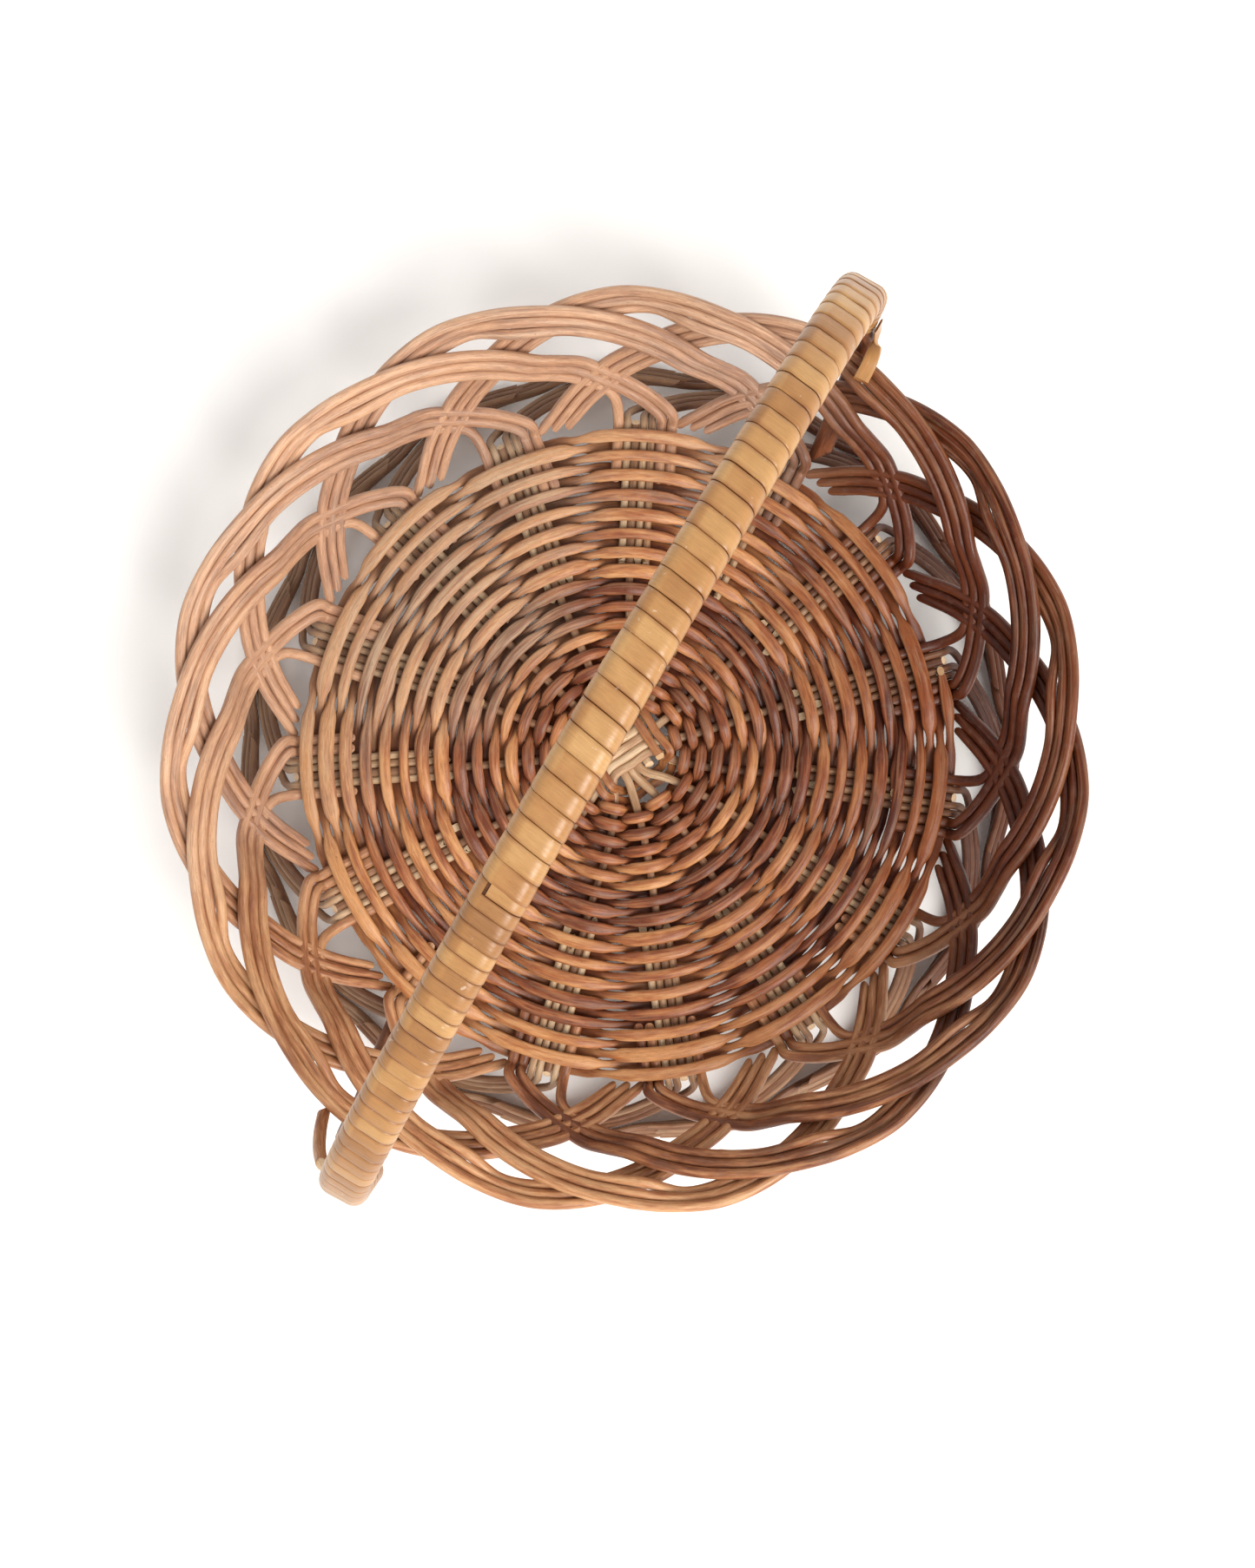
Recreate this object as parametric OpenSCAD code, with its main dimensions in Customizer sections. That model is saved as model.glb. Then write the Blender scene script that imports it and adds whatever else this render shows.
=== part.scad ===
/* [Base] */
// Height of the middle of the woven base above the table
base_z = 28; // [22:1:40]
// Radius where the woven base ends
base_r = 111; // [104:1:120]
// Angle of the first group
first_group = -45.5; // [-60:0.5:-30]
// Thickness of a base stick
stick_d = 2.8; // [2:0.1:3]
// Thickness of a stake
stake_d = 2.6; // [2:0.1:2.8]
// Radius where the stakes are pushed in
stake_r = 62; // [50:1:80]
// Gap left between two rods that lie side by side
gap = 0.1; // [0.05:0.05:0.3]

/* [Weave] */
// Radius of the first row of weaving
weave_r = 17.5; // [17:0.5:22]
// Rows of weaving
rows = 30; // [24:1:30]
// Width of a weaver
weaver_w = 2.7; // [1.5:0.1:2.7]
// Thickness of a weaver
weaver_t = 2.4; // [1.5:0.1:2.6]
// Weavers, laid one after the other
weavers = 12; // [8:1:12]

/* [Border] */
// Thickness of a border rod
border_d = 3.5; // [2.8:0.1:3.6]
// How far the rim stands out past the base edge
border_out = 33.6; // [28:0.2:40]
// How far the rim stands above the border's foot
border_up = 32; // [26:1:40]
// Turn from a scallop's start to the rim
rise_turn = 52; // [50:1:54]
// How far a border rod is pushed in under the weave
tail_l = 17; // [10:1:20]

/* [Foot] */
// Lean of the foot, out from upright
foot_lean = 37; // [25:1:45]
// Turn from a stake to the ring that stands on the table
foot_turn = 25; // [24:1:27]

/* [Handle] */
// Height of the handle rods' middle at the top
handle_top = 200; // [160:1:240]
// How far outside the rim the handle rods' middle stands
handle_out = 12.9; // [11:0.1:20]
// How far above the rim the handle is widest
handle_rise = 37; // [30:1:50]
// Thickness of a handle rod
handle_d = 7; // [5.5:0.1:7.4]
// Sideways place of the handle at its middle
handle_side = 6; // [0:0.5:8]
// Thickness of the cane
cane_t = 0.8; // [0.6:0.1:1.2]
// Width of the cane
cane_w = 5; // [4:0.5:6]
// Where the two cane strips meet, as an angle from the handle's right end
cane_joint = 109; // [90:1:120]

/* [Hidden] */
// Fifteen arms: four over four sticks make sixteen ends, and one is cut off to leave an odd number
groups = 15;
group_turn = 360 / groups;
border_pitch = border_d + gap;
stake_pitch = stake_d + gap;
stick_pitch = stick_d + 2 * gap;

// Sideways places in a group: three stakes, the arm, and the border tails beside them
arm_pitch = (stake_d + stick_d) / 2;
arm_side = arm_pitch / 2;
stake_sides = [-arm_side - stake_pitch, -arm_side, arm_side + arm_pitch];
tail_side = 2 * stake_pitch + border_d / 2 + gap;
tail_sides = [tail_side, -tail_side, -tail_side - border_pitch];
tail_r = base_r - tail_l;

// A weaver's middle stands this far above or below what it passes
stick_lift = (stick_d + weaver_t) / 2 + gap;
tail_lift = (border_d + weaver_t) / 2 + gap;

// The border leaves the base edge here, and comes back just before the fourth group on
border_r = base_r + 1;
border_z = base_z + 3;
start_turn = -4.5;
end_turn = -9.8;
border_turn = 4 * group_turn + end_turn - start_turn;

// How far a border rod swings in and out to pass its neighbours
swing_over = 0.75 * border_d;
swing_under = -0.32 * border_d;

// The foot's slope runs from the base edge to the ring
foot_top_r = base_r + 3.5;
foot_top_z = base_z - 3.5;
foot_wear = 0.3;
strand_pitch = stake_d + 3 * gap;
foot_ring_z = stake_d / 4 * sqrt(PI) - foot_wear + strand_pitch * cos(foot_lean);
foot_slope = (foot_top_z - foot_ring_z) / cos(foot_lean);

// Half the handle's span to the rods' middle, and the height where it is widest
handle_reach = border_r + border_out + handle_out;
handle_waist = border_z + border_up + handle_rise;

// The handle's legs stand this far outside the border's middle surface
leg_out = border_d + handle_d / 2 + 1.4;
handle_pitch = handle_d + gap;
wrap_half = handle_pitch / 2 + handle_d / 2 * 1.06 + gap + cane_t;
hook_d = 3.8;

function unit(v) = v / norm(v);
function mix(a, b, t) = a + (b - a) * t;
function back(path) = [for (i = [len(path) - 1:-1:0]) path[i]];
function polar(r, a, z) = [r * cos(a), r * sin(a), z];
function group_angle(n) = first_group + group_turn * n;
// Turn that moves a point sideways by this much at a radius
function turn_of(side, r) = side / r * 180 / PI;

// Direction of a path at one of its points
function heading(path, i) =
    unit(path[min(i + 1, len(path) - 1)] - path[max(i - 1, 0)]);

// Corners of a many-sided section with the area of the round it stands for
function corners(sides) =
    let (fit = sides % 2 == 0 ? sqrt(2 * PI / sides / sin(360 / sides)) : 2 / (1 + cos(180 / sides)))
    [for (k = [0:sides - 1]) let (a = 360 * (k + 0.5) / sides) fit * [cos(a), sin(a)]];

// Faces of a closed sweep whose sections have this many corners
function sweep_faces(rings, sides) = concat(
    [[for (k = [sides - 1:-1:0]) k]],
    [for (i = [0:rings - 2], k = [0:sides - 1])
        let (a = i * sides + k, b = i * sides + (k + 1) % sides)
        [a, b, b + sides, a + sides]],
    [[for (k = [0:sides - 1]) (rings - 1) * sides + k]]);

// A flat outline carried along a path, with its second direction kept towards up.
// up is one direction, or a list with one for each point of the path
function carried(path, outline, up) =
    [for (i = [0:len(path) - 1])
        let (ahead = heading(path, i), above = is_list(up[0]) ? up[i] : up,
             across = unit(cross(ahead, above)), over = cross(across, ahead))
        each [for (c = outline) path[i] + c[0] * across + c[1] * over]];

module sweep(path, outline, up = [0, 0, 1]) {
    // What would reach under the table is worn flat
    points = [for (p = carried(path, outline, up)) [p[0], p[1], max(p[2], 0)]];
    polyhedron(points = points, faces = sweep_faces(len(path), len(outline)), convexity = 10);
}

// A rod along a path
module rod(path, wide, thick, sides, up = [0, 0, 1]) {
    sweep(path, [for (c = corners(sides)) [c[0] * wide / 2, c[1] * thick / 2]], up);
}

// --- Base sticks: four over four in the middle, running out as fifteen arms ---

cross_turn = -27;
cross_r = 2.6 * stick_pitch;
bind_w = 1.6;
bind_t = 0.6;
bind_lift = stick_pitch + bind_t / 2 + gap;
bind_r = cross_r + 0.2;
bind_side = bind_r - 0.1;

function arm(n) =
    [for (r = [base_r + 0.5, stake_r, 16])
        polar(r, group_angle(n) + turn_of(arm_side * min(1, r / stake_r), r), base_z)];

function cross_point(turn, side, along, level) =
    let (a = cross_turn + turn)
    [along * cos(a) - side * sin(a), along * sin(a) + side * cos(a), base_z + level];

module base_stick(n) {
    upper = n <= 4;
    slot = upper ? n : n - 4;
    side = (slot - 2.5) * stick_pitch;
    level = (upper ? 0.5 : -0.5) * stick_pitch;
    turn = upper ? 0 : 90;
    near = upper ? slot - 2 : slot + 2;
    far = upper ? 11 - slot : 15 - slot;
    two_arms = upper || slot > 1;
    middle = [for (along = [cross_r, -cross_r]) cross_point(turn, side, along, level)];
    color("peru") rod(concat(arm(near), middle, two_arms ? back(arm(far)) : []), stick_d, stick_d, 4);
}

// A flat split rod that binds the crossed sticks, squarely over the upper and under the lower
module slath_binding() {
    path = [for (q = [0:3]) let (lift = q % 2 == 0 ? bind_lift : -bind_lift) each [
        cross_point(90 * q, -bind_side, bind_r, lift),
        cross_point(90 * q, bind_side, bind_r, lift),
        if (q < 3) cross_point(90 * q + 45, 0, (bind_r + bind_side) / sqrt(2), 0)]];
    color("wheat") rod(path, bind_w, bind_t, 4);
}

// --- Stakes: three a group, pushed in beside the arm, and on down into the foot ---

// Share of the slope that a strand has run down, at a turn from its stake
function foot_share(turn) =
    turn < foot_turn ? pow(sin(90 * max(turn, 0) / foot_turn), 0.9)
                     : 1 - 0.2 * max(0, turn - 40) / 15;
// A strand stands on the one that it crosses from here on
function foot_lift(turn) = lookup(turn, [[31, 0], [37, stake_d + 3 * gap]]);
function foot_middle(a, turn) =
    let (down = foot_slope * foot_share(turn))
    polar(foot_top_r + down * sin(foot_lean), a - turn, foot_top_z - down * cos(foot_lean));
function foot_normal(a) = polar(cos(foot_lean), a, sin(foot_lean));
function foot_point(a, turn, step) =
    let (ahead = unit(foot_middle(a, turn + 0.5) - foot_middle(a, turn - 0.5)),
         normal = foot_normal(a - turn))
    foot_middle(a, turn) + step * strand_pitch * cross(normal, ahead) + foot_lift(turn) * normal;

foot_turns = [3, 8, 16, foot_turn, 31, 37, 46, 54.5];

module stake_set(n) {
    a = group_angle(n - 1);
    color("sienna") for (k = [0:2]) {
        side = stake_sides[k];
        start_r = stake_r + 3 * (k % 2);
        flat = [for (r = [start_r, base_r + 0.5]) polar(r, a + turn_of(side, r), base_z)];
        turned = polar(foot_top_r, a + turn_of(1.08 * side, foot_top_r), foot_top_z);
        strand = [for (turn = foot_turns) foot_point(a, turn, k - 1)];
        // The lowest strand lies flat on the table along the ring
        ups = [for (turn = foot_turns)
            k == 2 && turn >= foot_turn && turn <= 31 ? [0, 0, 1] : foot_normal(a - turn)];
        rod(concat(flat, [turned], strand), stake_d, stake_d, 4,
            concat([[0, 0, 1], [0, 0, 1], foot_normal(a)], ups));
    }
}

// --- Weavers: over one group and under the next, one after the other from the middle ---

function row_r(t) = mix(weave_r, base_r - weaver_w / 2 - 0.3, 0.88 * t + 0.12 * t * t);
// Sideways places between which a weaver passes a group
function pass_sides(r) =
    r < stake_r - 2 ? [-1, 1] * (stick_d / 2 + 1)
    : r < tail_r - 2 ? [-1, 1] * (2 * stake_pitch + 0.6)
    : [-tail_side - border_pitch - border_d / 2 - 0.4, tail_side + border_d / 2 + 0.4];

module weaver(n) {
    passes = rows * groups;
    first = floor(passes * (n - 1) / weavers);
    last = floor(passes * n / weavers) - 1;
    path = [for (i = [first:last], corner = [0, 1])
        let (r = row_r((i + 0.5 * corner) / passes),
             lift = r < tail_r - 2 ? stick_lift : tail_lift,
             side = pass_sides(r)[corner] + (r < stake_r - 2 ? arm_side * r / stake_r : 0))
        polar(r, group_angle(i) + turn_of(side, r), base_z + (i % 2 == 0 ? lift : -lift))];
    color(n % 2 == 0 ? "peru" : "sienna") rod(path, weaver_w, weaver_t, 4);
}

// --- Border: fifteen scallops of three rods side by side ---

function border_share(turn) =
    turn < rise_turn ? sin(90 * max(turn, 0) / rise_turn)
                     : cos(90 * (turn - rise_turn) / (border_turn - rise_turn));
function border_at(a, share) =
    polar(border_r + border_out * share, a, border_z + border_up * share);
function border_normal(a) =
    unit([-border_up * cos(a), -border_up * sin(a), border_out]);
function border_middle(a, turn) = border_at(a + turn, border_share(turn));

// Swing of a rod at a turn: under one scallop, over two, then under two and over one
function border_swing(turn, step) = lookup(turn, [
    [14 - 0.6 * step, -swing_over],
    [20.8 - 1.1 * step, swing_over],
    [44.1 - 2.6 * step, swing_over],
    [53 + 3 * step, swing_under],
    [75.8 + 0.9 * step, swing_under],
    [80 + 0.5 * step, -swing_under]]);
function border_turns(step) = [
    if (step >= 0) each [5, 9.4], 14 - 0.6 * step, 20.8 - 1.1 * step, 27, 34, 38.5,
    44.1 - 2.6 * step, 48.5, 53 + 3 * step, 60, 65, 70, 75.8 + 0.9 * step, 80 + 0.5 * step, 85];
function border_point(a, turn, step) =
    let (ahead = unit(border_middle(a, turn + 0.5) - border_middle(a, turn - 0.5)),
         normal = border_normal(a + turn))
    border_middle(a, turn) + step * border_pitch * cross(ahead, normal)
        + border_swing(turn, step) * normal;

module border_scallop(n) {
    middle = group_angle(n - 1);
    a = middle + start_turn;
    color(n % 2 == 0 ? "chocolate" : "peru") for (k = [0:2]) {
        step = k - 1;
        tail = [for (r = [tail_r, border_r]) polar(r, middle + turn_of(tail_sides[k], r), base_z)];
        // The inner rod comes up on the far side of the stakes and joins the others a little later
        joining = k > 0 ? polar(border_r + k, middle + turn_of(tail_sides[k], border_r), base_z + 2.4 * k)
                        : border_at(middle + 4.4, 0.165) - swing_over * border_normal(middle);
        wall = [for (turn = border_turns(step)) border_point(a, turn, step)];
        end_side = 1.3 * step * border_pitch;
        end = polar(border_r + 1.4, a + border_turn + turn_of(end_side, border_r), base_z - 1);
        ups = [for (turn = border_turns(step)) border_normal(a + turn)];
        rod(concat(tail, [joining], wall, [end]), border_d, border_d, 4,
            concat([[0, 0, 1], [0, 0, 1], border_normal(middle)], ups, [border_normal(a + border_turn)]));
    }
}

// --- Handle: two rods side by side, each with one long leg outside the border ---

// A leg's angle around the basket at the base edge and at the rim
right_leg = [-4.2, -1.6];
left_leg = [168.4, 173.5];

// Middle of the handle's band, at an angle from its right end
function band_point(turn, side) =
    let (x = handle_reach * cos(turn))
    [x, handle_side - 0.02 * x + side, handle_waist + (handle_top - handle_waist) * sin(turn)];
// Lower end of the wrapped band
function band_end(end, side) = band_point(end > 0 ? 0 : 180, side) + [-2.5 * end, 0, -24];
// The band's straight stretches, from one angle to another
band_step = 12;
function on_band(turn, side) =
    let (low = floor(turn / band_step) * band_step)
    mix(band_point(low, side), band_point(low + band_step, side), (turn - low) / band_step);
function band(from, to, side) = concat(
    [on_band(from, side)],
    [for (turn = [0:band_step:180]) if (turn > from && turn < to) band_point(turn, side)],
    [on_band(to, side)]);

function leg_point(angles, share) =
    let (a = mix(angles[0], angles[1], share)) border_at(a, share) - leg_out * border_normal(a);
function leg(angles) =
    [leg_point(angles, 0.08), leg_point(angles, 0.45), leg_point(angles, 0.8),
     polar(border_r + border_out + 9.2, angles[1], border_z + border_up + 1)];

module handle_rod(path) {
    color("saddlebrown") rod(path, handle_d, handle_d, 8, [0, 1, 0]);
}

module handle_rod_right() {
    side = -handle_pitch / 2;
    handle_rod(concat(leg(right_leg), [band_end(1, side)], band(0, 180, side), [band_end(-1, side)]));
}

module handle_rod_left() {
    side = handle_pitch / 2;
    handle_rod(concat([band_end(1, side)], band(0, 180, side), [band_end(-1, side)],
        back(leg(left_leg))));
}

// --- Cane: two strips wound round both rods, with their loose ends ---

// Outline around both rods, this far outside them
function wrap_outline(out) =
    let (r = handle_d / 2 * 1.06 + out)
    [for (k = [11:-1:0]) let (a = 30 * (k + 0.5))
        [r / cos(15) * sin(a), sign(cos(a)) * handle_pitch / 2 + r / cos(15) * cos(a)]];

module cane_wrap(path) {
    count = len(path) - 1;
    longer = concat([path[0] * 2 - path[1]], path, [path[count] * 2 - path[count - 1]]);
    color("burlywood") difference() {
        sweep(path, wrap_outline(gap + cane_t), [0, 1, 0]);
        sweep(longer, wrap_outline(gap), [0, 1, 0]);
    }
}

module cane_wrap_right() {
    cane_wrap(concat([band_end(1, 0)], band(0, cane_joint - 0.2, 0)));
}

module cane_wrap_left() {
    cane_wrap(concat(band(cane_joint + 0.2, 180, 0), [band_end(-1, 0)]));
}

// A loose end that curls from the wrap's right end down on to the border
module cane_tail() {
    start = band_end(1, -wrap_half - cane_t / 2 - gap);
    route = [[0, 0, 9], [0, -0.4, 1], [-2.5, -1.8, -4], [-9, -3, -4.5], [-15, -3.2, -7.5]];
    color("wheat") rod([for (p = route) start + p], cane_t, cane_w, 4, [1, 0, 0]);
}

// A band of cane around the left leg, just under the wrap
module cane_tie() {
    legs = leg(left_leg);
    top = band_end(-1, handle_pitch / 2);
    low = mix(top, legs[3], 0.85);
    high = mix(top, legs[3], 0.35);
    inner = handle_d / 2 * 1.06 + gap;
    color("wheat") difference() {
        rod([low, high], 2 * (inner + cane_t), 2 * (inner + cane_t), 8, [0, 1, 0]);
        rod([low * 2 - high, high * 2 - low], 2 * inner, 2 * inner, 8, [0, 1, 0]);
    }
}

// The end of a thin rod that hooks out from the wrap's left end, round the rim
module rim_hook() {
    start = band_end(-1, wrap_half + hook_d / 2 + gap);
    route = [[-4, 0, 10], [-2, 3.4, 2], [2, 6.6, -6], [6.5, 9, -14]];
    color("sienna") rod([for (p = route) start + p], hook_d, hook_d, 6, [0, 1, 0]);
}

for (n = [1:8]) base_stick(n);
slath_binding();
for (n = [1:groups]) stake_set(n);
for (n = [1:weavers]) weaver(n);
for (n = [1:groups]) border_scallop(n);
handle_rod_right();
handle_rod_left();
cane_wrap_right();
cane_wrap_left();
cane_tail();
cane_tie();
rim_hook();
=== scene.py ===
import math

import bpy
import numpy as np
from mathutils import Matrix, Vector


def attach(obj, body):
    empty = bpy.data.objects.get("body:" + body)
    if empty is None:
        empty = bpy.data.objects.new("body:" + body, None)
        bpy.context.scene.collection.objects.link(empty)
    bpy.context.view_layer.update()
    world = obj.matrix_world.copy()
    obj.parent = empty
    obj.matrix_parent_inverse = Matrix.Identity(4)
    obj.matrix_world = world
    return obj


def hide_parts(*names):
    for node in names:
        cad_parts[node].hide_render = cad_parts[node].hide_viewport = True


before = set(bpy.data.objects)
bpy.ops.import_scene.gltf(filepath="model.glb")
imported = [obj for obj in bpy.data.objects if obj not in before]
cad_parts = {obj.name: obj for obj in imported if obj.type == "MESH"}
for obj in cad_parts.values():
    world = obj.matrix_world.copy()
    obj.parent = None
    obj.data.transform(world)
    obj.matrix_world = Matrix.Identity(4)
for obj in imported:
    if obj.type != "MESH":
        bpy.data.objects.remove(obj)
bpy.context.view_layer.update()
print("stage: frame loaded,", len(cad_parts), "nodes")

# all lengths below are millimetres, all turns are degrees, unless a name says otherwise
mm = 0.001
dice = np.random.default_rng(41)


# small geometry helpers, used by all the pieces
def unit(v):
    return v / np.maximum(np.linalg.norm(v, axis=-1, keepdims=True), 1e-9)


def mix(a, b, t):
    return a + (b - a) * t


def smoothStep(t):
    t = np.clip(t, 0, 1)
    return t * t * (3 - 2 * t)


def polar(r, turn, z):
    turn = np.radians(turn)
    return np.stack(np.broadcast_arrays(r * np.cos(turn), r * np.sin(turn), z), -1).astype(float)


def turnOf(side, r):
    return np.degrees(side / r)  # turn that moves a point sideways by this much


def wobble(t, seed, size=1.0):
    # slow wandering number, same each run
    waves = np.random.default_rng(seed)
    total = np.zeros_like(np.asarray(t, float))
    for octave in range(4):
        f = (0.6 + octave) * waves.uniform(0.8, 1.2)
        total += np.sin(f * t + waves.uniform(0, 6.28)) / (1 + octave)
    return size * total / 2.1


def smoothCurve(points, ups, spacing):
    # smooth curve through given points, with the directions that go with them
    points, ups = np.asarray(points, float), np.asarray(ups, float)
    step = np.linalg.norm(np.diff(points, axis=0), axis=1)
    knots = np.concatenate([[0], np.cumsum(step)])
    slope = np.diff(points, axis=0) / step[:, None]
    tangents = np.empty_like(points)
    tangents[0], tangents[-1] = slope[0], slope[-1]
    before, after = step[:-1, None], step[1:, None]
    tangents[1:-1] = (slope[:-1] * after + slope[1:] * before) / (before + after)
    count = max(3, int(knots[-1] / spacing) + 1)
    s = np.linspace(0, knots[-1], count)
    i = np.clip(np.searchsorted(knots, s, side="right") - 1, 0, len(step) - 1)
    h = step[i][:, None]
    t = ((s - knots[i]) / step[i])[:, None]
    path = ((2 * t ** 3 - 3 * t ** 2 + 1) * points[i] + (t ** 3 - 2 * t ** 2 + t) * h * tangents[i]
            + (3 * t ** 2 - 2 * t ** 3) * points[i + 1] + (t ** 3 - t ** 2) * h * tangents[i + 1])
    return path, unit(mix(ups[i], ups[i + 1], t)), s


class Heap:
    # gathers the rods of one piece, with what its material reads at each point
    def __init__(self):
        self.places, self.faces, self.rodPlace = [], [], []
        self.rodTone, self.endCut, self.rubAndLight = [], [], []
        self.count = 0

    def add(self, places, faces, rodPlace, tone, endCut, rubAndLight):
        n = len(places)
        self.places.append(places)
        self.faces.append(np.asarray(faces, int) + self.count)
        self.rodPlace.append(rodPlace)
        self.rodTone.append(np.full(n, tone))
        self.endCut.append(np.full(n, float(endCut)))
        self.rubAndLight.append(np.broadcast_to(rubAndLight, (n,)))
        self.count += n


budScar = {"every": 45, "length": 1.5, "around": 0.5, "height": 0.09}
barkRadius = 1.6  # rods of every thickness read the bark's pattern as if they were this thick
pithShare = 0.45  # size of the ring inside a cut end


def addRod(heap, path, ups, along, wide, thick, sides=12, tone=None, rubAndLight=0.0, slants=(0.7, 0.7),
           rough=0.03, knots=True, seed=None, square=2.0):
    # one rod: an oval section that wanders a little, bud scars, and a slanted cut at each end
    seed = int(dice.integers(1 << 30)) if seed is None else seed
    own = np.random.default_rng(seed)
    tone = own.uniform() if tone is None else tone
    n = len(path)
    ahead = unit(np.gradient(path, axis=0))
    across = unit(np.cross(ahead, ups))
    over = np.cross(across, ahead)
    wide, thick = np.broadcast_to(wide, (n,)) / 2, np.broadcast_to(thick, (n,)) / 2
    wide = wide * (1 + wobble(along / 9, seed, rough))
    thick = thick * (1 + wobble(along / 7, seed + 1, rough))
    angle = 2 * np.pi * (np.arange(sides) + 0.5) / sides
    c, s = np.cos(angle), np.sin(angle)
    power = 2 / square  # over 2 squares the oval off
    c, s = np.sign(c) * np.abs(c) ** power, np.sign(s) * np.abs(s) ** power
    swell = np.ones((n, sides))
    if knots:
        for _ in range(max(1, int(along[-1] / budScar["every"]))):
            at, where = own.uniform(0, along[-1]), own.uniform(0, 2 * np.pi)
            near = np.exp(-((along - at) / budScar["length"]) ** 2)
            around = np.exp(-((np.angle(np.exp(1j * (angle - where)))) / budScar["around"]) ** 2)
            swell += budScar["height"] * near[:, None] * around[None, :]
    ring = (c[None, :, None] * (wide[:, None, None] * swell[:, :, None]) * across[:, None, :]
            + s[None, :, None] * (thick[:, None, None] * swell[:, :, None]) * over[:, None, :])
    shift = np.zeros((n, sides))
    shift[0] = slants[0] * s * thick[0]
    shift[-1] = -slants[1] * s * thick[-1]
    places = path[:, None, :] + ring + shift[:, :, None] * ahead[:, None, :]
    start = own.uniform(-400, 400)  # each rod reads another part of the bark's pattern
    local = np.stack([np.broadcast_to(c * barkRadius, (n, sides)),
                      np.broadcast_to(s * barkRadius, (n, sides)),
                      np.broadcast_to(along[:, None] + start, (n, sides))], -1)
    local = local + own.uniform(-40, 40, 3) * [1, 1, 0]
    i, k = np.meshgrid(np.arange(n - 1), np.arange(sides), indexing="ij")
    a, b = i * sides + k, i * sides + (k + 1) % sides
    faces = np.stack([a, b, b + sides, a + sides], -1).reshape(-1, 4)
    rubAndLight = np.repeat(np.broadcast_to(rubAndLight, (n,)), sides)
    heap.add(places.reshape(-1, 3), faces, local.reshape(-1, 3), tone, 0, rubAndLight)
    for end in (0, n - 1):
        edge = places[end]
        centre = edge.mean(0)
        inner = mix(centre, edge, pithShare)
        disc = np.vstack([edge, inner, centre[None]])
        flat = np.vstack([local[end], mix(local[end].mean(0), local[end], pithShare),
                          local[end].mean(0)[None]])
        k = np.arange(sides)
        j = (k + 1) % sides
        rim = np.stack([k, k + sides, j + sides, j], -1)
        hub = np.stack([k + sides, np.full(sides, 2 * sides), np.full(sides, 2 * sides), j + sides], -1)
        cap = np.vstack([rim, hub])
        if end:
            cap = cap[:, ::-1]
        heap.add(disc, cap, flat, tone, 1, 0.0)


def makePiece(name, heap, materials, node=None):
    places = np.concatenate(heap.places) * mm
    places[:, 2] = np.maximum(places[:, 2], 0)  # nothing under the table: the foot is worn flat
    quads = np.concatenate(heap.faces)
    faces = [tuple(dict.fromkeys(q)) for q in quads.tolist()]
    mesh = bpy.data.meshes.new(name)
    mesh.from_pydata(places.tolist(), [], faces)
    layers = (("rodPlace", "FLOAT_VECTOR", heap.rodPlace), ("rodTone", "FLOAT", heap.rodTone),
              ("endCut", "FLOAT", heap.endCut), ("rubAndLight", "FLOAT", heap.rubAndLight))
    for key, kind, values in layers:
        layer = mesh.attributes.new(key, kind, "POINT")
        layer.data.foreach_set("vector" if kind == "FLOAT_VECTOR" else "value",
                               np.concatenate(values).astype(np.float32).ravel())
    mesh.polygons.foreach_set("use_smooth", np.ones(len(mesh.polygons), bool))
    for material in materials:
        mesh.materials.append(material)
    mesh.validate()
    mesh.update()
    piece = bpy.data.objects.new(name, mesh)
    bpy.context.scene.collection.objects.link(piece)
    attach(piece, "root")
    if node:
        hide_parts(node)
    return piece


# shader groups shared by the materials
def newGroup(name, ins, outs):
    group = bpy.data.node_groups.new(name, "ShaderNodeTree")
    for label, kind, value in ins:
        socket = group.interface.new_socket(label, in_out="INPUT", socket_type=kind)
        if value is not None:
            socket.default_value = value
    for label, kind in outs:
        group.interface.new_socket(label, in_out="OUTPUT", socket_type=kind)
    return group, Tree(group), group.nodes.new("NodeGroupInput"), group.nodes.new("NodeGroupOutput")


class Tree:
    # short calls for adding and joining nodes
    def __init__(self, tree):
        self.tree = tree

    def node(self, kind, links=None, **settings):
        made = self.tree.nodes.new(kind)
        for key, value in settings.items():
            setattr(made, key, value)
        for key, value in (links or {}).items():
            self.join(value, made.inputs[key])
        return made

    def join(self, value, socket):
        if isinstance(value, bpy.types.NodeSocket):
            self.tree.links.new(value, socket)
        else:
            socket.default_value = value

    def math(self, operation, a, b=0.0, clamp=False):
        return self.node("ShaderNodeMath", {0: a, 1: b}, operation=operation, use_clamp=clamp).outputs[0]

    def spread(self, value, low, high, toLow=0.0, toHigh=1.0):
        return self.node("ShaderNodeMapRange", {0: value, 1: low, 2: high, 3: toLow, 4: toHigh},
                         interpolation_type="SMOOTHSTEP").outputs[0]

    def blend(self, kind, share, a, b):
        made = self.node("ShaderNodeMix", None, data_type="RGBA", blend_type=kind, clamp_factor=True)
        self.join(share, made.inputs[0])
        self.join(a, made.inputs[6])
        self.join(b, made.inputs[7])
        return made.outputs[2]

    def noise(self, vector, scale, detail=3.0, roughness=0.55):
        return self.node("ShaderNodeTexNoise", {"Vector": vector, "Scale": scale, "Detail": detail,
                                                "Roughness": roughness}).outputs["Fac"]

    def stretched(self, vector, amount):
        return self.node("ShaderNodeVectorMath", {0: vector, 1: amount}, operation="MULTIPLY").outputs[0]


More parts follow.
